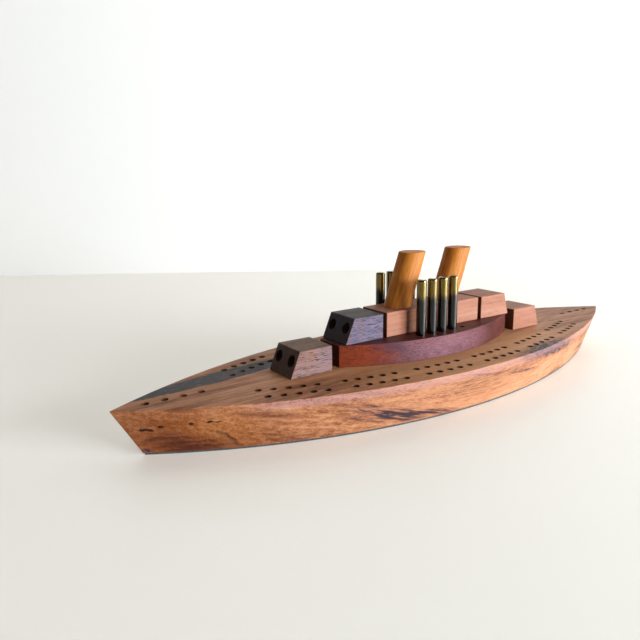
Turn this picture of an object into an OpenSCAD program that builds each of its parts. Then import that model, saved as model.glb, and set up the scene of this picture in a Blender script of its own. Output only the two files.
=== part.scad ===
// Cribbage board in the shape of a double-ended battleship: a drilled hull with two
// double rows of peg holes down each side, a superstructure of glued blocks, two
// raked funnels and eight metal pegs stowed upright beside the bridge.
// The bow points along -X, starboard along +Y, and the felt rests on Z = 0.

/* [Hull] */
// Length of the deck from stem to stern
deck_length = 337.2; // [330:0.2:420]
// Greatest width of the deck, amidships
deck_width = 99.4; // [96:0.2:130]
// Height of the wooden hull, without the felt
hull_height = 21.7; // [16:0.1:32]
// How far the bottom edge lies inside the deck edge, all round
side_bevel = 6.4; // [0:0.1:10]
// Thickness of the felt under the hull
felt_thickness = 0.8; // [0.5:0.1:3]
// How far the felt stops short of the bottom edge
felt_inset = 0.4; // [0:0.1:2]

/* [Peg holes] */
// Diameter of every peg hole
hole_d = 3.175; // [2.4:0.005:4]
// Depth of every peg hole
hole_depth = 10; // [6:0.5:14]
// Distance between the holes of one group, along the ship
hole_pitch = 6.35; // [5:0.05:7.7]
// Distance from the last hole of a group to the first of the next
group_gap = 12.7; // [8:0.1:15]
// Distance from the deck edge to the outer row
outer_row_inset = 7.4; // [5:0.1:10]
// Distance from the outer row to the inner row
row_gap = 8.6; // [6:0.1:10]
// Distance from the tip of the deck to the first centreline hole
tip_inset = 14.9; // [12:0.1:25]
// Distance between the centreline holes at bow and stern
tip_pitch = 8.3; // [6:0.1:9]

/* [Superstructure deck] */
// Length of the superstructure deck, between its square ends
plate_length = 121.6; // [116:0.2:130]
// Greatest width of the superstructure deck, amidships
plate_width = 49; // [44:0.2:54]
// Width of its square ends
plate_end_width = 16.4; // [10:0.2:30]
// Thickness of the superstructure deck
plate_thickness = 11.1; // [9:0.1:16]
// Distance between the stowage holes
stow_pitch = 7.45; // [6:0.05:9]
// Gap from the side of the bridge to a stowed peg
stow_gap = 3.95; // [2:0.01:5]

/* [Bridge] */
// Length of the bridge block
bridge_length = 66.8; // [50:0.2:70]
// How far aft of midships the bridge and the upper turrets stand
bridge_shift = 1.2; // [-2:0.1:2]
// Width of the bridge block
bridge_width = 20; // [16:0.2:24]
// Height of the bridge block
bridge_height = 12.8; // [10:0.1:20]

/* [Turrets] */
// Width of each turret
turret_width = 20.4; // [14:0.1:24]
// Height of each turret
turret_height = 12.7; // [11:0.1:16]
// Length of a turret along its base
turret_base_length = 23.4; // [20:0.1:24]
// Length of a fore turret along its top
fore_turret_top_length = 18; // [14:0.1:20]
// Length of an aft turret along its top
aft_turret_top_length = 19.6; // [14:0.1:20]
// Gap between the bridge and an upper turret
upper_turret_gap = 2.4; // [0.5:0.1:5]
// Gap between the superstructure deck and a lower turret
lower_turret_gap = 5.2; // [0.5:0.1:10]
// Distance between the two gun holes of a turret
gun_spacing = 11.4; // [9:0.1:14]
// Height of the gun holes above the turret's base
gun_height = 7.4; // [6.5:0.1:8.5]
// Diameter of the gun holes
gun_hole_d = 5.5; // [4:0.1:6]
// Depth of the gun holes, from the sloping face
gun_depth = 10; // [4:0.5:14]

/* [Funnels] */
// Diameter of the funnel dowels
funnel_d = 13.9; // [8:0.1:16]
// Height of the funnels above the bridge
funnel_height = 28.3; // [15:0.1:50]
// Rake of the funnels towards the stern, in degrees
funnel_rake = 19.8; // [0:0.1:25]
// Distance between the funnels along the ship
funnel_spacing = 34; // [24:0.5:40]
// Depth of the funnel sockets in the bridge
funnel_socket = 6; // [3:0.5:8]

/* [Pegs] */
// Diameter of the body of a peg
peg_d = 5.1; // [4.2:0.01:6]
// Length of the body of a peg, above its shoulder
peg_length = 28.8; // [20:0.1:40]
// Radial room of a peg's spigot in its hole
peg_clearance = 0.0875; // [0.02:0.0005:0.1]
// Gap left below the tip of a seated peg
tip_gap = 1; // [0.5:0.1:2]
// Chamfer round the top and the tip of a peg
peg_chamfer = 0.4; // [0.1:0.1:0.8]

/* [Joinery] */
// Diameter of the hidden locating dowels
dowel_d = 6; // [4:0.5:7]
// How far a dowel stands in the piece above it
dowel_up = 4; // [3:0.5:4]
// How far a dowel stands in the piece below it
dowel_down = 5; // [3:0.5:6]
// Radial room for glue round a dowel or a funnel
glue_gap = 0.05; // [0.01:0.01:0.1]
// Room for glue past each end of a dowel
glue_pocket = 0.5; // [0.2:0.1:1]
// Distance from amidships to each dowel under the superstructure deck
plate_dowel_x = 18; // [12:0.5:24]
// Distance from the end of the bridge to each dowel under it
bridge_dowel_inset = 5; // [4.5:0.5:7]

/* [Hidden] */
PEGS_PER_SIDE = 4;
STOW_HOLES = 5;
GROUPS = 6;
HOLES_PER_GROUP = 5;
TIP_HOLES = 4;
ENDS = [-1, 1];
FINE = 360;
ROUND = 64;
CUT = 1;

// Radius of the arc through both ends of a chord, standing rise above its middle.
function arc_radius(chord, rise) = (chord * chord / 4 + rise * rise) / (2 * rise);

deck_r = arc_radius(deck_length, deck_width / 2);
deck_centre = deck_r - deck_width / 2;
plate_r = arc_radius(plate_length, (plate_width - plate_end_width) / 2);
plate_centre = plate_r - plate_width / 2;

deck_z = felt_thickness + hull_height;
plate_z = deck_z + plate_thickness;
bridge_z = plate_z + bridge_height;
lower_turret_x = plate_length / 2 + lower_turret_gap;
group_pitch = (HOLES_PER_GROUP - 1) * hole_pitch + group_gap;
row_insets = [outer_row_inset, outer_row_inset + row_gap];
stow_y = bridge_width / 2 + stow_gap + peg_d / 2;
spigot_d = hole_d - 2 * peg_clearance;
spigot_length = hole_depth - tip_gap;
bridge_dowel_x = bridge_length / 2 - bridge_dowel_inset;

// Half the width of the deck at x, less an inset measured square to the edge.
function deck_y(x, inset) = sqrt(pow(deck_r - inset, 2) - x * x) - deck_centre;
// Place of stowage hole n along the ship, counted from the bow.
function stow_x(n) = (n - (STOW_HOLES + 1) / 2) * stow_pitch;
// Places of the track holes of one row along the ship.
function track_xs() = [
    for (g = [0 : GROUPS - 1], h = [0 : HOLES_PER_GROUP - 1])
        (g - (GROUPS - 1) / 2) * group_pitch + (h - (HOLES_PER_GROUP - 1) / 2) * hole_pitch
];

// Pointed block between two arcs, whose sides lean out from r_low to r_high.
module lens(r_low, r_high, centre, height) {
    intersection() {
        translate([0, centre, 0]) cylinder(h = height, r1 = r_low, r2 = r_high, $fn = FINE);
        translate([0, -centre, 0]) cylinder(h = height, r1 = r_low, r2 = r_high, $fn = FINE);
    }
}

// Blind hole drilled down from z at [x, y].
module peg_hole(x, y, z) {
    translate([x, y, z - hole_depth]) cylinder(h = hole_depth + CUT, d = hole_d, $fn = ROUND);
}

// Dowel standing through the joint at height z, at [x, 0].
module dowel(x, z) {
    translate([x, 0, z - dowel_down]) cylinder(h = dowel_down + dowel_up, d = dowel_d, $fn = ROUND);
}

// Room for that dowel and its glue, in the pieces on both sides of the joint.
module dowel_hole(x, z) {
    translate([x, 0, z - dowel_down - glue_pocket])
        cylinder(h = dowel_down + dowel_up + 2 * glue_pocket, d = dowel_d + 2 * glue_gap, $fn = ROUND);
}

// Distance from midships to the inner face of the upper turret at one end.
function upper_turret_x(end) = bridge_length / 2 + upper_turret_gap + end * bridge_shift;
// Place of the dowel under a turret whose inner face stands at x.
function turret_mid(x) = x + fore_turret_top_length / 2;

module hull_block() {
    color("peru") difference() {
        translate([0, 0, felt_thickness]) lens(deck_r - side_bevel, deck_r, deck_centre, hull_height);
        for (side = ENDS, inset = row_insets, x = track_xs())
            peg_hole(x, side * deck_y(x, inset), deck_z);
        for (end = ENDS, n = [0 : TIP_HOLES - 1])
            peg_hole(end * (deck_length / 2 - tip_inset - n * tip_pitch), 0, deck_z);
        for (end = ENDS) {
            dowel_hole(end * plate_dowel_x, deck_z);
            dowel_hole(end * turret_mid(lower_turret_x), deck_z);
        }
    }
}

module base_felt() {
    foot_r = deck_r - side_bevel - felt_inset;
    color("black") lens(foot_r, foot_r, deck_centre, felt_thickness);
}

module superstructure_deck() {
    color("firebrick") difference() {
        translate([0, 0, deck_z]) intersection() {
            lens(plate_r, plate_r, plate_centre, plate_thickness);
            translate([-plate_length / 2, -plate_width, 0]) cube([plate_length, 2 * plate_width, plate_thickness]);
        }
        for (side = ENDS, n = [1 : STOW_HOLES]) peg_hole(stow_x(n), side * stow_y, plate_z);
        for (end = ENDS) {
            dowel_hole(end * plate_dowel_x, deck_z);
            dowel_hole(bridge_shift + end * bridge_dowel_x, plate_z);
            dowel_hole(end * turret_mid(upper_turret_x(end)), plate_z);
        }
    }
}

// Leaning round bar at x, between heights z_low and z_high, both ends cut level.
module raked_bar(x, d, z_low, z_high) {
    reach = (z_high - z_low) + d;
    intersection() {
        translate([x, 0, bridge_z]) rotate([0, funnel_rake, 0])
            translate([0, 0, -reach]) cylinder(h = 2 * reach, d = d, $fn = ROUND);
        translate([x - 2 * reach, -d, z_low]) cube([4 * reach, 2 * d, z_high - z_low]);
    }
}

module bridge() {
    color("sandybrown") difference() {
        translate([bridge_shift - bridge_length / 2, -bridge_width / 2, plate_z])
            cube([bridge_length, bridge_width, bridge_height]);
        for (end = ENDS) {
            raked_bar(end * funnel_spacing / 2, funnel_d + 2 * glue_gap, bridge_z - funnel_socket, bridge_z + CUT);
            dowel_hole(bridge_shift + end * bridge_dowel_x, plate_z);
        }
    }
}

module funnel(end) {
    color("chocolate")
        raked_bar(end * funnel_spacing / 2, funnel_d, bridge_z - funnel_socket, bridge_z + funnel_height);
}

// Turret whose inner face stands at x on the deck at height z, its guns facing bow or stern.
module turret(end, x, z, shade) {
    top_length = end < 0 ? fore_turret_top_length : aft_turret_top_length;
    muzzle_x = turret_base_length - (turret_base_length - top_length) * gun_height / turret_height;
    color(shade) mirror([end < 0 ? 1 : 0, 0, 0]) difference() {
        translate([x, turret_width / 2, z]) rotate([90, 0, 0]) linear_extrude(turret_width) polygon([
            [0, 0], [turret_base_length, 0], [top_length, turret_height], [0, turret_height]
        ]);
        for (side = ENDS)
            translate([x + muzzle_x - gun_depth, side * gun_spacing / 2, z + gun_height])
                rotate([0, 90, 0]) cylinder(h = gun_depth + gun_hole_d, d = gun_hole_d, $fn = ROUND);
        dowel_hole(turret_mid(x), z);
    }
}

// Peg seated in stowage hole n, turned from rod with a spigot below its shoulder.
module peg(side, n) {
    body_r = peg_d / 2;
    spigot_r = spigot_d / 2;
    color("darkgoldenrod") translate([stow_x(n), side * stow_y, plate_z]) rotate_extrude($fn = ROUND) polygon([
        [0, -spigot_length], [spigot_r - peg_chamfer, -spigot_length], [spigot_r, peg_chamfer - spigot_length],
        [spigot_r, 0], [body_r, 0], [body_r, peg_length - peg_chamfer],
        [body_r - peg_chamfer, peg_length], [0, peg_length]
    ]);
}

module deck_dowels() { color("wheat") for (end = ENDS) dowel(end * plate_dowel_x, deck_z); }
module bridge_dowels() { color("wheat") for (end = ENDS) dowel(bridge_shift + end * bridge_dowel_x, plate_z); }
module turret_dowels() {
    color("wheat") for (end = ENDS) {
        dowel(end * turret_mid(upper_turret_x(end)), plate_z);
        dowel(end * turret_mid(lower_turret_x), deck_z);
    }
}

hull_block();  // hull
base_felt();
superstructure_deck();
bridge();
turret(-1, lower_turret_x, deck_z, "saddlebrown");  // turret_fore_lower
turret(-1, upper_turret_x(-1), plate_z, "dimgray");  // turret_fore_upper
turret(1, upper_turret_x(1), plate_z, "rosybrown");  // turret_aft_upper
turret(1, lower_turret_x, deck_z, "tan");  // turret_aft_lower
funnel(-1);  // funnel_fore
funnel(1);  // funnel_aft
deck_dowels();
bridge_dowels();
turret_dowels();
for (n = [1 : PEGS_PER_SIDE]) {
    peg(-1, n);
    peg(1, n);
}
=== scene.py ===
import math

import bmesh
import bpy
from mathutils import Matrix, Vector


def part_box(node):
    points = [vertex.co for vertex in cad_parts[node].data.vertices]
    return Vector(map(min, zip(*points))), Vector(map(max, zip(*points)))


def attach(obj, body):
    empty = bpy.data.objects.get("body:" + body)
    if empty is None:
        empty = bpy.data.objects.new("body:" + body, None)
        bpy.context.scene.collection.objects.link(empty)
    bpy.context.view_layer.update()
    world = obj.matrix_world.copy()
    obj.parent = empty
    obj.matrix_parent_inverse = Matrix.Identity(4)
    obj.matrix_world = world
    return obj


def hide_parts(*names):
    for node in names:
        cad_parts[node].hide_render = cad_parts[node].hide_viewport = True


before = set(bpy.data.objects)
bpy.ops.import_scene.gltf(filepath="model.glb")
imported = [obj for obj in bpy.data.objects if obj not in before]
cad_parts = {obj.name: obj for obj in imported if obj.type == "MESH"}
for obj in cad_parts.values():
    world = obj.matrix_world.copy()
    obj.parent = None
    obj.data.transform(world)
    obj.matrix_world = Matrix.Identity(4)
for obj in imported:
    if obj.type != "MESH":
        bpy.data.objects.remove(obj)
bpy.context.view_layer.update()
MM = 0.001


# The studio: a pale table with a pale wall behind it, lit by one low window to the right of the
# camera and a little by the dim room. The camera looks along the port side from ahead of the bow.
CAMERA_PLACE = Vector((-217.6, -231.6, 110.6)) * MM
CAMERA_YAW = math.radians(33.203)
CAMERA_PITCH = math.radians(13.19)
CAMERA_ROLL = math.radians(-0.984)
CAMERA_LENS = 32.84
WALL_DISTANCE = 442 * MM
LAMP_DISTANCE = 1.6
STUDIO_SIZE = 6.0

camera = bpy.data.objects.new("camera", bpy.data.cameras.new("camera"))
camera.data.sensor_width = 36
camera.data.lens = CAMERA_LENS
camera.data.clip_start = 0.01
aim = Matrix.Rotation(-CAMERA_YAW, 4, "Z") @ Matrix.Rotation(math.pi / 2 - CAMERA_PITCH, 4, "X")
camera.matrix_world = Matrix.Translation(CAMERA_PLACE) @ aim @ Matrix.Rotation(CAMERA_ROLL, 4, "Z")
bpy.context.scene.collection.objects.link(camera)
bpy.context.scene.camera = camera
bpy.context.scene.view_settings.view_transform = "Standard"


def linear(red, green, blue):
    """A colour as it looks on a screen, 0 to 255, turned into what a shader wants."""
    return tuple(((c / 255 + 0.055) / 1.055) ** 2.4 for c in (red, green, blue)) + (1,)


class Socket:
    """The output of a shader node. A sum or product of sockets and numbers adds its Math nodes."""

    def __init__(self, finish, output):
        self.finish = finish
        self.output = output

    def maths(self, operation, first, second=0.0):
        return self.finish.node("Math", {"operation": operation}, {0: first, 1: second})

    def __add__(self, other):
        return self.maths("ADD", self, other)

    def __sub__(self, other):
        return self.maths("SUBTRACT", self, other)

    def __rsub__(self, other):
        return self.maths("SUBTRACT", other, self)

    def __mul__(self, other):
        return self.maths("MULTIPLY", self, other)

    __radd__ = __add__
    __rmul__ = __mul__

    def fraction(self):
        return self.maths("FRACT", self)

    def or_more(self, other):
        return self.maths("MAXIMUM", self, other)

    def ramp(self, start, end, low=0.0, high=1.0):
        """Eases from low to high as this value goes from start to end."""
        sockets = {0: self, 1: start, 2: end, 3: low, 4: high}
        return self.finish.node("MapRange", {"interpolation_type": "SMOOTHSTEP"}, sockets)


class Finish:
    """A material. Its patterns are laid out in millimetres in the board's own frame."""

    def __init__(self, name, **constants):
        self.material = bpy.data.materials.new(name)
        self.material.use_nodes = True
        self.tree = self.material.node_tree
        self.shader = self.tree.nodes["Principled BSDF"]
        for socket, value in constants.items():
            self.shader.inputs[socket.replace("_", " ")].default_value = value
        metres = self.node("TexCoord", {}, {}, "Object")
        self.place = self.node("VectorMath", {"operation": "SCALE"}, {0: metres, "Scale": 1 / MM})

    def node(self, kind, settings, sockets, output=0):
        made = self.tree.nodes.new("ShaderNode" + kind)
        for name, value in settings.items():
            if name == "stops":
                for _ in range(len(value) - 2):
                    made.color_ramp.elements.new(0.5)
                for element, (position, colour) in zip(made.color_ramp.elements, value):
                    element.position = position
                    element.color = colour
            else:
                setattr(made, name, value)
        for name, value in sockets.items():
            if isinstance(value, Socket):
                self.tree.links.new(value.output, made.inputs[name])
            else:
                made.inputs[name].default_value = value
        return Socket(self, made.outputs[output])

    def feed(self, **links):
        for name, value in links.items():
            self.tree.links.new(value.output, self.shader.inputs[name.replace("_", " ")])

    def vector(self, operation, first, second):
        return self.node("VectorMath", {"operation": operation}, {0: first, 1: second})

    def noise(self, where, detail=3.0, roughness=0.5, output=0):
        sockets = {"Vector": where, "Scale": 1.0, "Detail": detail, "Roughness": roughness}
        return self.node("TexNoise", {}, sockets, output)

    def wandering(self, where, pace, reach, seed=(0, 0, 0)):
        """Places pushed about by up to reach, slowly, so that straight lines wander."""
        slow = self.vector("ADD", self.vector("MULTIPLY", where, pace), seed)
        push = self.vector("SUBTRACT", self.noise(slow, 2.0, output=1), (0.5, 0.5, 0.5))
        return self.vector("ADD", where, self.vector("MULTIPLY", push, reach))

    def spot(self, where, centre, size, turn=(0, 0, 0), core=0.3):
        """1 inside an egg of that half size and turn round centre, easing to 0 at its skin."""
        angles = tuple(math.radians(angle) for angle in turn)
        sockets = {0: where, 1: centre, 2: angles, 3: size}
        inside = self.node("Mapping", {"vector_type": "TEXTURE"}, sockets)
        reach = self.node("VectorMath", {"operation": "LENGTH"}, {0: inside}, "Value")
        return reach.ramp(core, 1.0, 1.0, 0.0)

    def mix(self, amount, under, over, blend="MIX"):
        settings = {"data_type": "RGBA", "blend_type": blend}
        return self.node("Mix", settings, {0: amount, 6: under, 7: over}, 2)

    def relief(self, height, depth):
        self.feed(Normal=self.node("Bump", {}, {"Strength": 1.0, "Distance": depth, "Height": height}))


def studio_plane(name, place, **constants):
    """A broad flat sheet of the studio, with a plain finish that glows a little."""
    finish = Finish(name, **constants)
    shape = bmesh.new()
    bmesh.ops.create_grid(shape, x_segments=1, y_segments=1, size=STUDIO_SIZE / 2, matrix=place)
    mesh = bpy.data.meshes.new(name)
    shape.to_mesh(mesh)
    shape.free()
    mesh.materials.append(finish.material)
    made = bpy.data.objects.new(name, mesh)
    bpy.context.scene.collection.objects.link(made)


TABLE = {"Base_Color": (0.68, 0.66, 0.62, 1), "Roughness": 0.5}
TABLE_GLOW = {"Emission_Color": (1.0, 0.95, 0.86, 1), "Emission_Strength": 0.28}
WALL = {"Base_Color": (0.67, 0.66, 0.65, 1), "Roughness": 0.9}
WALL_GLOW = {"Emission_Color": (1.0, 0.94, 0.84, 1), "Emission_Strength": 0.2}
standing = Matrix.Translation((0, WALL_DISTANCE, STUDIO_SIZE / 2)) @ Matrix.Rotation(math.pi / 2, 4, "X")
studio_plane("pale_table", Matrix.Identity(4), **TABLE, **TABLE_GLOW)
studio_plane("pale_wall", Matrix.Rotation(-CAMERA_YAW, 4, "Z") @ standing, **WALL, **WALL_GLOW)


def lamp(name, bearing, elevation, size, power, colour):
    """A soft rectangle of light, aimed at the board from a bearing clockwise of the camera's aim."""
    light = bpy.data.lights.new(name, "AREA")
    light.shape = "RECTANGLE"
    light.size, light.size_y = size
    light.energy = power
    light.color = colour
    made = bpy.data.objects.new(name, light)
    turn = CAMERA_YAW + math.radians(bearing)
    rise = math.radians(elevation)
    direction = Vector((math.sin(turn) * math.cos(rise), math.cos(turn) * math.cos(rise), math.sin(rise)))
    made.location = direction * LAMP_DISTANCE
    made.rotation_euler = direction.to_track_quat("Z", "Y").to_euler()
    bpy.context.scene.collection.objects.link(made)
    return made


lamp("window", bearing=122, elevation=10, size=(1.05, 0.5), power=58, colour=(0.86, 0.95, 1.0))
# This one shows only as a gleam on polished things.
gleam = lamp("gleam", bearing=105, elevation=12, size=(0.5, 0.9), power=80, colour=(0.95, 0.96, 1.0))
gleam.visible_diffuse = False

room = bpy.data.worlds.new("room")
room.use_nodes = True
background = room.node_tree.nodes["Background"]
background.inputs["Color"].default_value = (1.0, 0.86, 0.70, 1)
background.inputs["Strength"].default_value = 0.12
bpy.context.scene.world = room


# The hull: one plank of orange-brown heartwood, sawn to a point at both ends with its sides
# leaning in, then drilled for two players and oiled. Rows of holes follow the deck edge, and
# mineral stain runs through the plank in slate and violet streaks along the grain.
ARC_STEPS = 120
FELT_INSET = 0.4 * MM
HULL_EDGE = 0.45 * MM
HOLE_DIAMETER = 3.175 * MM
HOLE_DEPTH = 10 * MM
HOLE_PITCH = 6.35 * MM
HOLES_PER_GROUP = 5
GROUPS = 6
GROUP_PITCH = 38.1 * MM
ROW_INSETS = (7.4 * MM, 16.0 * MM)
TIP_HOLES = 4
TIP_INSET = 14.9 * MM
TIP_PITCH = 8.3 * MM
HOLE_RIM = 0.15 * MM
BIT_STEPS = 28

# Mineral stain in the plank: centre and half size in mm, turn in degrees, strength and how far
# out from its centre it stays full before it fades.
MINERAL_STAINS = (
    ((-108, 15.0, 22.5), (60, 7.4, 7), (0, 0, 8), 2.4, 0.7),
    ((-60, -40, 9.5), (34, 9, 7.6), (0, 15, 0), 0.6, 0.0),
    ((-69, -40, 11.8), (24, 9, 1.6), (0, 18, 0), 0.85, 0.0),
    ((-70, -40, 7.6), (22, 9, 1.5), (0, 18, 0), 0.85, 0.0),
    ((-63, -40, 13.2), (16, 9, 1.4), (0, 20, 0), 0.75, 0.0),
    ((-50, -41, 6.4), (23, 9, 5.0), (0, 12, 0), 1.5, 0.1),
    ((-34, -42, 4.4), (28, 9, 2.4), (0, 8, 0), 1.3, 0.0),
    ((-8, -46, 19.0), (24, 9, 1.4), (0, 9, 0), 0.65, 0.0),
    ((34, -45, 12.6), (28, 9, 1.5), (0, 8, 0), 0.7, 0.0),
    ((56, -43, 20.5), (42, 8.0, 6.0), (0, 5, 10), 1.4, 0.2),
    ((-155.8, -1, 1.2), (4.4, 6, 3.4), (0, 0, 0), 1.0, 0.3),
    ((-101, -31, 1.7), (15, 9, 1.5), (0, -3, 0), 0.85, 0.1),
    ((84, -8, 22), (46, 5, 6), (0, 0, 12), 0.6, 0.0),
    ((30, 42, 8), (60, 9, 6), (0, -4, 0), 0.85, 0.1),
    ((118, -20, 7), (34, 14, 3.4), (0, 5, 0), 0.7, 0.0),
)
# Redder heartwood: the same. Dark figure: the arcs of one ring each, as the ring's centre and
# radius, and the patch of the plank where it shows.
RED_HEART = (
    ((-141, -14, 5.0), (30, 22, 8.0), (0, 10, 0), 0.9, 0.2),
    ((-143, -15.2, 21.8), (24, 1.3, 1.8), (0, 0, -26), 0.9, 0.4),
    ((-112, -28, 16.5), (40, 9, 3.0), (0, 8, 0), 0.9, 0.0),
    ((-120, -2.4, 22), (34, 3.4, 5), (0, 0, -3), 0.75, 0.1),
    ((-60, -8, 22), (60, 2.6, 5), (0, 0, 3), 0.5, 0.1),
    ((110, 30, 10), (50, 9, 7), (0, 4, 0), 0.7, 0.1),
    ((-60, 40, 12), (40, 9, 4), (0, -6, 0), 0.7, 0.1),
)
DARK_FIGURE = (
    ((-147, 0, -21), 36.0, (-125, -22, 6), (11, 20, 9)),
    ((-136, 0, -14), 18.0, (-137, -16, 3), (14, 20, 4)),
    ((-150, 0, -14), 22.6, (-149, -9, 7), (12, 20, 5)),
    ((-143, 0, -30), 35.2, (-147, -12, 5), (11, 20, 4)),
    ((-140, 0, -30), 32.6, (-143, -14, 2), (14, 20, 3)),
)
# Old worm tracks near the bow: centre, half size and turn.
WORM_TRACKS = (
    ((-156.6, -4.0, 12.9), (2.3, 4, 0.95), (0, -12, 0)),
    ((-154.0, -5.5, 12.6), (2.0, 4, 0.75), (0, 10, 0)),
    ((-150.6, -8.2, 14.1), (1.8, 4, 0.85), (0, 0, 0)),
    ((-139.4, -14.3, 14.9), (1.3, 4, 0.85), (0, 0, 0)),
    ((-132.8, -17.4, 15.2), (1.9, 4, 0.75), (0, -3, 0)),
    ((-129.6, -19.0, 15.1), (2.4, 4, 0.4), (0, 0, 0)),
)


def timber(
    name, colours, seed, pith, ring, figure=(0.5, 0.3, 0.25, 0.05), pores=0.35, gloss=(0.46, 0.56),
    lean=0.0, ends=0.6, paint=None,
):
    """A wood with its grain along X: growth rings round a distant pith, long veins, fibres and pores.

    colours are its dark, middle and light tones, and figure says how far bands, veins, fibres
    and rings each move it from one to another. ends is how dark the faces that look fore and aft
    are: darker end grain, with painted shade laid over them.
    """
    wood = Finish(name, IOR=1.5, Specular_IOR_Level=0.1)
    leant = wood.node("Mapping", {"vector_type": "POINT"}, {0: wood.place, 2: (0, math.radians(lean), 0)})
    where = wood.wandering(leant, (0.009, 0.03, 0.03), (0, 5, 5), seed)
    where = wood.wandering(where, (0.05, 0.22, 0.22), (0, 0.7, 0.7), seed)
    across = wood.vector("MULTIPLY", wood.vector("SUBTRACT", where, pith), (0.02, 1, 1))
    radius = wood.node("VectorMath", {"operation": "LENGTH"}, {0: across}, "Value")
    phase = (radius * (1 / ring)).fraction()
    rings = phase.ramp(0.0, 0.8) - phase.ramp(0.84, 1.0)
    bands = wood.noise(wood.vector("MULTIPLY", where, (0.008, 0.09, 0.09)), 2.0)
    veins = wood.noise(wood.vector("MULTIPLY", where, (0.06, 0.75, 0.75)), 4.0, 0.65)
    fibres = wood.noise(wood.vector("MULTIPLY", leant, (0.14, 2.6, 2.6)), 4.0, 0.75)
    shares = zip((bands, veins, fibres, 1 - rings), figure)
    tone = sum(((part - 0.5) * share for part, share in shares), 0.5)
    colour = wood.node("ValToRGB", {"stops": list(zip((0.34, 0.5, 0.66), colours))}, {0: tone})
    normal = wood.node("NewGeometry", {}, {}, "Normal")
    upright = wood.node("SeparateXYZ", {}, {0: normal}, "Z").ramp(0.3, 0.7, 1.0, 0.0)
    along = wood.node("SeparateXYZ", {}, {0: normal}, "X")
    if paint:
        colour = paint(wood, colour, leant, veins, fibres, upright)
    dashes = wood.noise(wood.vector("MULTIPLY", leant, (0.32, 2.6, 2.6)), 1.0)
    pits = dashes.ramp(0.66 - 0.1 * pores, 0.76 - 0.1 * pores)
    deep = tuple(c * 0.3 for c in colours[0][:3]) + (1,)
    # Pores take the deep tone, and so do the faces that look fore and aft: darker end grain with painted
    # shade.
    colour = wood.mix((pits * pores).or_more((along * along).ramp(0.5, 0.8) * ends), colour, deep)
    wood.feed(Base_Color=colour, Roughness=fibres.ramp(0.25, 0.75, *gloss))
    wood.relief(fibres * 0.6 - pits, 0.035 * MM)
    return wood


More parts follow.
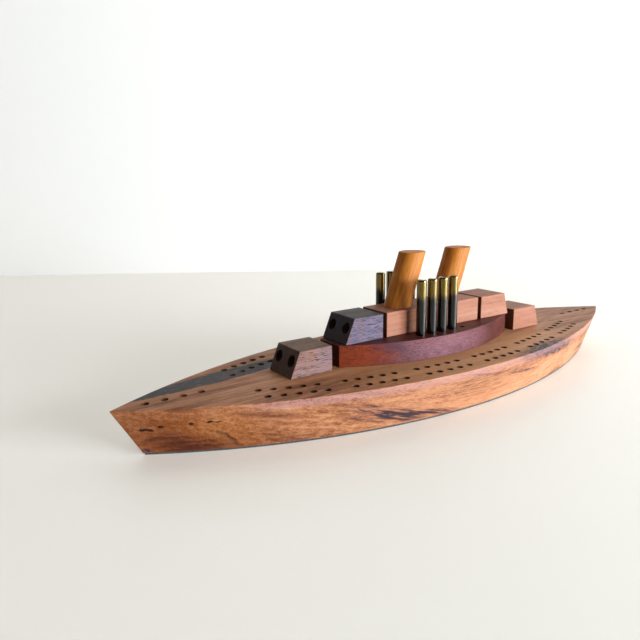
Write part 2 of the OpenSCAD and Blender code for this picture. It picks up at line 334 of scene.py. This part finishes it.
def hull_paint(wood, colour, where, veins, fibres, side):
    """Adds what makes the hull's plank this one: curl, red heart, dark figure, stain and worm tracks, and
    painted sheen along the top of the sides and on the port side's middle, with the curl's shimmer
    painted in as golden flecks.
    """
    bow = wood.spot(where, (-146, -10, 9), (72, 36, 22), (0, 0, 0), 0.25) * side
    colour = wood.mix(bow * (fibres + veins).ramp(0.8, 1.2, 0.98, 0.6), colour, linear(112, 57, 22))
    # Painted sheen: the middle of the port side made paler and salmon.
    pale = wood.spot(where, (-14, -46, 13), (118, 14, 20), (0, 0, 0), 0.3) * side
    colour = wood.mix(pale * fibres.ramp(0.4, 0.62, 0.1, 0.75), colour, linear(184, 128, 96))
    deck = wood.spot(where, (10, 0, 22), (110, 70, 8), (0, 0, 0), 0.5) * (1 - side)
    colour = wood.mix(deck * 0.6, colour, linear(202, 148, 104))
    curl = wood.noise(wood.vector("MULTIPLY", where, (0.7, 1.0, 1.5)), 4.0, 0.75)
    # Golden flecks in the curl near the bow: the curl figure, with its shimmer painted in as highlights.
    curl_glint = wood.spot(where, (-128, -20, 11), (24, 30, 12), (0, 10, 0), 0.2)
    colour = wood.mix(curl_glint * curl.ramp(0.42, 0.66) * 0.5, colour, linear(184, 116, 50))
    ragged = wood.wandering(where, (0.03, 0.1, 0.1), (10, 1.8, 1.8), (3, 7, 1))
    bent = wood.wandering(where, (0.12, 0.2, 0.3), (5, 2, 2.4), (4, 4, 9))
    heart = 0.0
    for centre, size, turn, strength, core in RED_HEART:
        heart = wood.spot(ragged, centre, size, turn, core) * strength + heart
    colour = wood.mix(heart * veins.ramp(0.34, 0.6, 0.15, 0.95), colour, linear(92, 42, 25))
    contour = (wood.node("SeparateXYZ", {}, {0: bent}, "Z") * 0.42).fraction()
    contour = (contour.ramp(0.0, 0.45) - contour.ramp(0.5, 0.7)) * heart.ramp(0.2, 0.7)
    colour = wood.mix(contour * side * veins.ramp(0.36, 0.58, 0.1, 0.7), colour, linear(58, 28, 20))
    for centre, radius, middle, size in DARK_FIGURE:
        off = wood.vector("MULTIPLY", wood.vector("SUBTRACT", bent, centre), (1, 0, 1))
        reach = wood.node("VectorMath", {"operation": "LENGTH"}, {0: off}, "Value")
        line = reach.ramp(radius - 2.4, radius) - reach.ramp(radius, radius + 0.8)
        line = line * wood.spot(where, middle, size, (0, 0, 0), 0.3) * side
        colour = wood.mix(line * veins.ramp(0.3, 0.55, 0.35, 0.85), colour, linear(66, 30, 20))
    leaning = wood.node("Mapping", {"vector_type": "POINT"}, {0: ragged, 2: (0, math.radians(-16), 0)})
    streaks = wood.noise(wood.vector("MULTIPLY", leaning, (0.03, 0.8, 0.8)), 3.0, 0.7)
    ink = 0.0
    for centre, size, turn, strength, core in MINERAL_STAINS:
        patch = wood.spot(ragged, centre, size, turn, core) * strength
        ink = patch.or_more(ink)
    ink = ink * streaks.ramp(0.36, 0.6, 0.25, 1.3)
    colour = wood.mix(ink.ramp(0.0, 0.45) * 0.4, colour, linear(118, 68, 60))
    slate = wood.mix(side, linear(52, 55, 58), linear(44, 37, 46))
    colour = wood.mix(ink.ramp(0.08, 1.1) * 0.96, colour, slate)
    # Painted sheen: a mauve strip along the top of the sides, away from the bow.
    rim = wood.node("SeparateXYZ", {}, {0: where}, "Z").ramp(16.4, 20.6)
    aft = 1 - wood.spot(where, (-169, 0, 20), (84, 50, 50), (0, 0, 0), 0.7)
    painted_edge_sheen = rim * aft * (curl + fibres).ramp(0.82, 1.12, 0.15, 1.0) * side
    colour = wood.mix(painted_edge_sheen * 0.7, colour, linear(160, 122, 124))
    for centre, size, turn in WORM_TRACKS:
        crooked = wood.wandering(where, (0.6, 0.6, 0.6), (1.8, 1.4, 1.3), (5, 2, 8))
        colour = wood.mix(wood.spot(crooked, centre, size, turn, 0.5) * 0.95, colour, linear(26, 15, 13))
    return colour


HEARTWOOD = (linear(100, 56, 34), linear(162, 106, 72), linear(190, 138, 102))
hull_grain = {"seed": (1, 4, 2), "pith": (0, 30, -90), "ring": 3.1, "figure": (0.6, 0.55, 0.45, 0.05)}
hull_wood = timber("hull_wood", HEARTWOOD, paint=hull_paint, **hull_grain)
# The peg holes' walls take the heartwood at a third of its brightness: painted shade in the holes.
hole_shade_wood = timber("hull_hole_shade_wood", [tuple(c * 0.35 for c in t) for t in HEARTWOOD], **hull_grain)


def turned(profile, steps):
    """Spins a profile of radii and heights once round the Z axis, as a lathe would leave it."""
    shape = bmesh.new()
    corners = [shape.verts.new((radius, 0, height)) for radius, height in profile]
    lines = [shape.edges.new(pair) for pair in zip(corners, corners[1:])]
    full = {"axis": (0, 0, 1), "angle": 2 * math.pi, "steps": steps, "use_merge": True}
    bmesh.ops.spin(shape, geom=corners + lines, cent=(0, 0, 0), **full)
    bmesh.ops.remove_doubles(shape, verts=shape.verts[:], dist=1e-7)
    bmesh.ops.recalc_face_normals(shape, faces=shape.faces[:])
    return shape


def round_off(shape, edges, width, segments=3):
    """Eases edges with a small round, as sandpaper does."""
    options = {"segments": segments, "profile": 0.5, "affect": "EDGES", "material": -1}
    bmesh.ops.bevel(shape, geom=edges, offset=width, clamp_overlap=True, **options)


def piece_from(shape, name, finish, body="board"):
    """Makes a finished shape a piece of the board, riding on the given body."""
    bmesh.ops.recalc_face_normals(shape, faces=shape.faces[:])
    mesh = bpy.data.meshes.new(name)
    shape.to_mesh(mesh)
    shape.free()
    mesh.materials.append(finish.material)
    made = bpy.data.objects.new(name, mesh)
    bpy.context.scene.collection.objects.link(made)
    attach(made, body)
    return made


def drill(piece, bit, places, finish):
    """Cuts a copy of the bit into a piece at each place. The new walls get their own finish."""
    bits = bmesh.new()
    pattern = bpy.data.meshes.new("bit")
    bit.to_mesh(pattern)
    bit.free()
    for place in places:
        before = set(bits.verts)
        bits.from_mesh(pattern)
        bmesh.ops.transform(bits, matrix=place, verts=[v for v in bits.verts if v not in before])
    mesh = bpy.data.meshes.new("bits")
    bits.to_mesh(mesh)
    bits.free()
    mesh.materials.append(finish.material)
    cutter = bpy.data.objects.new("bits", mesh)
    bpy.context.scene.collection.objects.link(cutter)
    cut = piece.modifiers.new("cut", "BOOLEAN")
    cut.object = cutter
    cut.solver = "EXACT"
    cut.material_mode = "TRANSFER"
    bpy.context.view_layer.update()
    cut_mesh = bpy.data.meshes.new_from_object(piece.evaluated_get(bpy.context.evaluated_depsgraph_get()))
    piece.modifiers.clear()
    piece.data = cut_mesh
    bpy.data.objects.remove(cutter)


def soften(piece):
    """Shades a piece smooth, with its broad faces keeping their own direction."""
    piece.data.polygons.foreach_set("use_smooth", [True] * len(piece.data.polygons))
    piece.data.set_sharp_from_angle(angle=math.radians(50))
    weighted = piece.modifiers.new("broad_faces", "WEIGHTED_NORMAL")
    weighted.keep_sharp = True


def level_edges(shape, z):
    return [e for e in shape.edges if all(abs(v.co.z - z) < 1e-6 for v in e.verts)]


def pointed_block(foot_radius, top_radius, centre, foot_z, top_z):
    """A block between two arcs that meet in a point at bow and stern, wider at one height."""
    shape = bmesh.new()
    for radius, z in ((foot_radius, foot_z), (top_radius, top_z)):
        reach = math.sqrt(radius**2 - centre**2)
        start = shape.verts.new((-reach, 0, z))
        sweep = {"axis": (0, 0, 1), "angle": 2 * math.asin(reach / radius), "steps": ARC_STEPS}
        bmesh.ops.spin(shape, geom=[start], cent=(0, centre, z), **sweep)
        arc = level_edges(shape, z)
        points = list({v for e in arc for v in e.verts})
        bmesh.ops.mirror(shape, geom=points + arc, matrix=Matrix.Identity(4), merge_dist=1e-5, axis="Y")
    bmesh.ops.bridge_loops(shape, edges=shape.edges[:])
    for z in (foot_z, top_z):
        bmesh.ops.contextual_create(shape, geom=level_edges(shape, z))
    return shape


hull_low, hull_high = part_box("hull")
felt_low, felt_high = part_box("base_felt")
deck_radius = (hull_high.x**2 + hull_high.y**2) / (2 * hull_high.y)
deck_centre = deck_radius - hull_high.y
felt_radius = felt_high.y + deck_centre

hull_shape = pointed_block(felt_radius + FELT_INSET, deck_radius, deck_centre, hull_low.z, hull_high.z)
stems = [e for e in hull_shape.edges if all(abs(v.co.y) < 1e-6 for v in e.verts)]
rims = level_edges(hull_shape, hull_low.z) + level_edges(hull_shape, hull_high.z)
round_off(hull_shape, rims + stems, HULL_EDGE)
hull = piece_from(hull_shape, "hull_plank", hull_wood)
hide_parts("hull")


def hole_bit():
    """Profile of the bit that drills a peg hole and breaks its rim."""
    radius = HOLE_DIAMETER / 2
    rim = [(radius, -HOLE_RIM), (radius + 2 * HOLE_RIM, HOLE_RIM), (0, HOLE_RIM)]
    return turned([(0, -HOLE_DEPTH), (radius, -HOLE_DEPTH)] + rim, BIT_STEPS)


hole_xs = []
for group in range(GROUPS):
    for hole in range(HOLES_PER_GROUP):
        middle = (group - (GROUPS - 1) / 2) * GROUP_PITCH
        hole_xs.append(middle + (hole - (HOLES_PER_GROUP - 1) / 2) * HOLE_PITCH)
track_places = []
for side in (-1, 1):
    for inset in ROW_INSETS:
        for x in hole_xs:
            y = side * (math.sqrt((deck_radius - inset) ** 2 - x * x) - deck_centre)
            track_places.append(Matrix.Translation((x, y, hull_high.z)))
for end in (-1, 1):
    for hole in range(TIP_HOLES):
        x = end * (hull_high.x - TIP_INSET - hole * TIP_PITCH)
        track_places.append(Matrix.Translation((x, 0, hull_high.z)))
drill(hull, hole_bit(), track_places, hole_shade_wood)
soften(hull)


# The felt: one thin sheet of charcoal felt glued under the hull, cut just inside its foot.
felt = Finish("charcoal_felt", Roughness=0.95, Sheen_Weight=0.15)
nap = felt.noise(felt.vector("MULTIPLY", felt.place, (1.6, 1.6, 1.6)), 5.0, 0.7)
lint = felt.noise(felt.vector("MULTIPLY", felt.place, (0.12, 0.12, 0.12)), 2.0)
felt_colour = felt.mix(nap.ramp(0.3, 0.7), linear(34, 35, 37), linear(62, 63, 66))
felt.feed(Base_Color=felt.mix(lint.ramp(0.4, 0.7) * 0.4, felt_colour, linear(78, 79, 82)))
felt.relief(nap, 0.15 * MM)

felt_shape = pointed_block(felt_radius, felt_radius, deck_centre, felt_low.z, felt_high.z)
felt_sheet = piece_from(felt_shape, "felt_sheet", felt)
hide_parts("base_felt")
soften(felt_sheet)


# The superstructure deck: a boat-shaped block of dark red padauk with square ends, glued and
# dowelled to the hull. Ten stowage holes for the pegs run down it beside the bridge.
PLATE_END_WIDTH = 16.4 * MM
PLATE_EDGE = 0.35 * MM
PLATE_CORNER = 0.6  # radians: only edges that turn by more than this are eased
STOW_HOLES = 5
STOW_PITCH = 7.45 * MM
STOW_LINE = 16.5 * MM

PADAUK = (linear(50, 18, 14), linear(80, 32, 26), linear(104, 48, 38))
padauk_grain = {"seed": (7, 3, 5), "pith": (0, -40, -70), "ring": 2.3, "figure": (0.5, 0.4, 0.3, 0.04)}


def padauk_paint(wood, colour, where, veins, fibres, side):
    """Turns the block orange-red at its fore end, with painted sheen in mauve along the middle of its
    sides.
    """
    torn = wood.wandering(where, (0.1, 0.1, 0.1), (12, 8, 8))
    fore = wood.spot(torn, (-58, -10, 28), (34, 30, 14), (0, 0, 0), 0.4)
    colour = wood.mix(fore * veins.ramp(0.3, 0.6, 0.3, 1.0) * side * 0.85, colour, linear(124, 50, 22))
    # Painted sheen: mauve along the middle of the sides.
    middle = wood.spot(torn, (-4, -22, 28), (52, 10, 16), (0, 0, 0), 0.1) * side
    colour = wood.mix(middle * fibres.ramp(0.36, 0.64, 0.35, 1.0) * 0.75, colour, linear(140, 94, 108))
    violet = wood.spot(torn, (-34, -16, 31), (14, 12, 5), (0, 12, 0), 0.1)
    return wood.mix(violet * 0.7, colour, linear(62, 40, 58))


padauk = timber("padauk", PADAUK, pores=0.5, gloss=(0.4, 0.52), paint=padauk_paint, **padauk_grain)
# The stowage holes' walls take the padauk darkened: painted shade in the holes.
padauk_hole_shade = timber("padauk_hole_shade", [tuple(c * 0.6 for c in t) for t in PADAUK], **padauk_grain)

plate_low, plate_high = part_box("superstructure_deck")
plate_rise = plate_high.y - PLATE_END_WIDTH / 2
plate_radius = (plate_high.x**2 + plate_rise**2) / (2 * plate_rise)
plate_centre = plate_radius - plate_high.y


def saw_off(shape, place, outwards):
    """Saws off what lies past a plane, and closes the cut."""
    geom = shape.verts[:] + shape.edges[:] + shape.faces[:]
    cut = {"plane_co": place, "plane_no": outwards, "clear_outer": True}
    bmesh.ops.bisect_plane(shape, geom=geom, dist=1e-7, **cut)
    bmesh.ops.holes_fill(shape, edges=[e for e in shape.edges if e.is_boundary])


plate_shape = pointed_block(plate_radius, plate_radius, plate_centre, plate_low.z, plate_high.z)
for end in (-1, 1):
    saw_off(plate_shape, (end * plate_high.x, 0, 0), (end, 0, 0))
corners = [e for e in plate_shape.edges if len(e.link_faces) == 2 and e.calc_face_angle() > PLATE_CORNER]
round_off(plate_shape, corners, PLATE_EDGE)
plate = piece_from(plate_shape, "superstructure_block", padauk)
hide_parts("superstructure_deck")
stow_places = []
for side in (-1, 1):
    for hole in range(STOW_HOLES):
        x = (hole - (STOW_HOLES - 1) / 2) * STOW_PITCH
        stow_places.append(Matrix.Translation((x, side * STOW_LINE, plate_high.z)))
drill(plate, hole_bit(), stow_places, padauk_hole_shade)
soften(plate)


# The bridge: a plain block of pinkish cherry along the middle of the superstructure deck, with
# two leaning sockets bored in its top for the funnels. Its edges are eased with sandpaper.
BLOCK_EDGE = 0.4 * MM
FUNNEL_RAKE = math.radians(19.8)
FUNNEL_SPACING = 34 * MM
FUNNEL_DIAMETER = 13.9 * MM
FUNNEL_SOCKET = 6 * MM
SOCKET_OVERRUN = 1 * MM
GLUE_GAP = 0.05 * MM
FUNNEL_STEPS = 72

CHERRY = (linear(110, 64, 48), linear(152, 98, 75), linear(175, 123, 102))
cherry = timber("cherry", CHERRY, (2, 8, 4), (0, 20, -46), 2.6, figure=(0.4, 0.15, 0.3, 0.03), pores=0.4)


def block(node):
    """A sawn block that fills a CAD node's box."""
    low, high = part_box(node)
    shape = bmesh.new()
    place = Matrix.LocRotScale((low + high) / 2, None, high - low)
    bmesh.ops.create_cube(shape, size=1, matrix=place)
    return shape, low, high


bridge_shape, _, bridge_high = block("bridge")
round_off(bridge_shape, bridge_shape.edges[:], BLOCK_EDGE)
bridge = piece_from(bridge_shape, "bridge_block", cherry)
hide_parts("bridge")


def raked_bar(radius, x, low_z, high_z):
    """A round bar that leans towards the stern through x at bridge height, cut level at both ends."""
    shape = bmesh.new()
    reach = 2 * (high_z - low_z) + 4 * radius
    axis = Matrix.Translation((x, 0, bridge_high.z)) @ Matrix.Rotation(FUNNEL_RAKE, 4, "Y")
    options = {"cap_ends": True, "segments": FUNNEL_STEPS, "depth": 2 * reach}
    bmesh.ops.create_cone(shape, radius1=radius, radius2=radius, matrix=axis, **options)
    saw_off(shape, (0, 0, low_z), (0, 0, -1))
    saw_off(shape, (0, 0, high_z), (0, 0, 1))
    bmesh.ops.recalc_face_normals(shape, faces=shape.faces[:])
    return shape


for end in (-1, 1):
    socket_radius = FUNNEL_DIAMETER / 2 + GLUE_GAP
    floor_z = bridge_high.z - FUNNEL_SOCKET
    socket = raked_bar(socket_radius, end * FUNNEL_SPACING / 2, floor_z, bridge_high.z + SOCKET_OVERRUN)
    drill(bridge, socket, [Matrix.Identity(4)], cherry)
soften(bridge)


# The turrets: four wedges sawn from walnut forward and cherry aft, glued down with their
# sloping faces outwards. Two blind holes in each slope stand for the guns.
FORE_SLOPE = 5.4 * MM
AFT_SLOPE = 3.8 * MM
GUN_DIAMETER = 5.5 * MM
GUN_SPACING = 11.4 * MM
GUN_HEIGHT = 7.4 * MM
GUN_DEPTH = 10 * MM
GUN_STEPS = 40
GUN_BIT = [
    (0, -GUN_DEPTH), (GUN_DIAMETER / 2, -GUN_DEPTH), (GUN_DIAMETER / 2, GUN_DIAMETER), (0, GUN_DIAMETER)
]

WALNUT = (linear(60, 36, 22), linear(102, 70, 50), linear(140, 106, 84))
DARK_WALNUT = (linear(20, 12, 10), linear(56, 42, 38), linear(104, 86, 84))


def grain_sheen_paint(cool, warm):
    """Paint for a block's upright sides: painted sheen in cool and warm bands, streaked finely along the
    grain.
    """
    def paint(wood, colour, where, veins, fibres, side):
        lines = wood.noise(wood.vector("MULTIPLY", where, (0.16, 3.6, 3.6)), 4.0, 0.8)
        curl = wood.noise(wood.vector("MULTIPLY", where, (0.18, 0.05, 0.05)), 3.0, 0.6)
        tint = wood.mix(curl.ramp(0.42, 0.58), cool, warm)
        return wood.mix(side * lines.ramp(0.36, 0.62, 0.1, 0.72), colour, tint)
    return paint


OPEN_GRAIN = {"figure": (0.35, 0.25, 0.55, 0.03), "pores": 0.8, "gloss": (0.44, 0.56)}
# Painted sheen for the walnut turrets' sides: violet-grey on the lower, bluer on the upper.
lower_grain_sheen = grain_sheen_paint(linear(136, 110, 122), linear(142, 104, 98))
upper_grain_sheen = grain_sheen_paint(linear(114, 104, 136), linear(128, 104, 124))
walnut = timber("walnut", WALNUT, (5, 1, 9), (0, 50, -30), 2.2, paint=lower_grain_sheen, **OPEN_GRAIN)
dark_walnut = timber(
    "dark_walnut", DARK_WALNUT, (9, 6, 2), (0, 40, 10), 1.9, paint=upper_grain_sheen, **OPEN_GRAIN
)
# The gun bores' walls: a near-black brown with a faint mottle, painted shade in the bores.
bored = Finish("gun_bore_shade", Roughness=0.9)
bore_mottle = bored.noise(bored.vector("MULTIPLY", bored.place, (1.5, 1.5, 1.5)), 3.0)
bored.feed(Base_Color=bored.mix(bore_mottle, linear(34, 24, 18), linear(58, 42, 32)))

TURRETS = (
    ("turret_fore_lower", walnut, "walnut", -1, FORE_SLOPE),
    ("turret_fore_upper", dark_walnut, "dark_walnut", -1, FORE_SLOPE),
    ("turret_aft_upper", cherry, "cherry", 1, AFT_SLOPE),
    ("turret_aft_lower", cherry, "cherry", 1, AFT_SLOPE),
)
for node, wood, slot, end, slope in TURRETS:
    shape, low, high = block(node)
    outer = high.x if end > 0 else low.x
    ridge = [v for v in shape.verts if v.co.z > high.z - 1e-6 and abs(v.co.x - outer) < 1e-6]
    bmesh.ops.translate(shape, verts=ridge, vec=(-end * slope, 0, 0))
    round_off(shape, shape.edges[:], BLOCK_EDGE)
    turret = piece_from(shape, node + "_block", wood)
    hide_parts(node)
    mouth_x = outer - end * slope * GUN_HEIGHT / (high.z - low.z)
    facing = Matrix.Rotation(end * math.pi / 2, 4, "Y")
    muzzles = []
    for side in (-1, 1):
        muzzles.append(Matrix.Translation((mouth_x, side * GUN_SPACING / 2, low.z + GUN_HEIGHT)) @ facing)
    drill(turret, turned(GUN_BIT, GUN_STEPS), muzzles, bored)
    soften(turret)


# The funnels: two lengths of orange cherry dowel, glued into the bridge at a rake towards the
# stern, their tops sawn level and eased. The grain runs up each dowel.
FUNNEL_EDGE = 0.35 * MM
FUNNEL_CHERRY = (linear(140, 74, 20), linear(178, 106, 40), linear(204, 134, 62))
FUNNEL_GRAIN = 90 - math.degrees(FUNNEL_RAKE)
for node, end, seed in (("funnel_fore", -1, (3, 3, 1)), ("funnel_aft", 1, (8, 5, 7))):
    low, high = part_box(node)
    shape = raked_bar(FUNNEL_DIAMETER / 2, end * FUNNEL_SPACING / 2, low.z, high.z)
    round_off(shape, level_edges(shape, low.z) + level_edges(shape, high.z), FUNNEL_EDGE)
    figure = (0.3, 0.45, 0.2, 0.04)
    growth = {"seed": seed, "pith": (0, 9 * end, 12), "ring": 1.7, "figure": figure}
    wood = timber(node + "_wood", FUNNEL_CHERRY, lean=FUNNEL_GRAIN, ends=0.0, **growth)
    funnel = piece_from(shape, node + "_dowel", wood)
    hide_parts(node)
    soften(funnel)


# The pegs: eight turned brass rods, blackened over their lower two thirds, each with a rounded
# top and a thin spigot that drops into a peg hole. They lift out and ride on their own bodies.
PEG_DIAMETER = 5.1 * MM
PEG_CLEARANCE = 0.0875 * MM
PEG_ROUND = 1.0 * MM
SPIGOT_LENGTH = 9 * MM
SPIGOT_TIP = 0.4 * MM
PEG_STEPS = 40
ROUND_STEPS = 4
PEGS_PER_SIDE = 4
BLACKENED_TO = 17.0
BRASS_FROM = 21.0

peg_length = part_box("peg_port_1")[1].z - plate_high.z
peg_metal = Finish("blackened_brass", Metallic=1.0, Coat_Weight=1.0, Coat_IOR=1.4, Coat_Roughness=0.12)
height = peg_metal.node("SeparateXYZ", {}, {0: peg_metal.place}, "Z") - plate_high.z / MM
cloud = peg_metal.noise(peg_metal.vector("MULTIPLY", peg_metal.place, (0.5, 0.5, 0.16)), 3.0)
brushed = peg_metal.noise(peg_metal.vector("MULTIPLY", peg_metal.place, (4.0, 4.0, 0.2)), 3.0, 0.6)
bare = (height + (cloud - 0.5) * 5.0).ramp(BLACKENED_TO, BRASS_FROM)
bare = bare * height.ramp(peg_length / MM - 1.1, peg_length / MM - 0.3, 1.0, 0.6)
brass = peg_metal.mix(brushed, linear(84, 68, 18), linear(124, 104, 40))
black = peg_metal.mix(cloud, linear(16, 15, 14), linear(34, 33, 31))
peg_metal.feed(Base_Color=peg_metal.mix(bare, black, brass), Roughness=brushed.ramp(0.3, 0.7, 0.15, 0.24))
peg_metal.relief(brushed, 0.01 * MM)

body = PEG_DIAMETER / 2
spigot = HOLE_DIAMETER / 2 - PEG_CLEARANCE
peg_profile = [
    (0, -SPIGOT_LENGTH),
    (spigot - SPIGOT_TIP, -SPIGOT_LENGTH),
    (spigot, SPIGOT_TIP - SPIGOT_LENGTH),
    (spigot, 0),
    (body, 0),
    (body, peg_length - PEG_ROUND),
]
for step in range(1, ROUND_STEPS + 1):
    turn = step / ROUND_STEPS * math.pi / 2
    inwards = PEG_ROUND * (1 - math.cos(turn))
    below = PEG_ROUND * (1 - math.sin(turn))
    peg_profile.append((body - inwards, peg_length - below))
peg_profile.append((0, peg_length))

for side in ("port", "starboard"):
    for number in range(1, PEGS_PER_SIDE + 1):
        node = f"peg_{side}_{number}"
        low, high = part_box(node)
        shape = turned(peg_profile, PEG_STEPS)
        place = ((low.x + high.x) / 2, (low.y + high.y) / 2, plate_high.z)
        bmesh.ops.translate(shape, verts=shape.verts, vec=place)
        peg = piece_from(shape, f"{node}_rod", peg_metal, body=node)
        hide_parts(node)
        soften(peg)


# The locating dowels: short birch pins, glued across the hidden joints between the blocks. The
# CAD nodes have their true shape, so they stay and take a pale end-grained wood.
BIRCH = (linear(196, 160, 112), linear(222, 190, 144), linear(234, 208, 166))
birch = timber("birch", BIRCH, (6, 2, 3), (0, 0, -8), 1.2, pores=0.2, gloss=(0.5, 0.6), lean=90, ends=0.0)
for node in ("deck_dowels", "bridge_dowels", "turret_dowels"):
    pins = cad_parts[node]
    pins.data.materials.clear()
    pins.data.materials.append(birch.material)
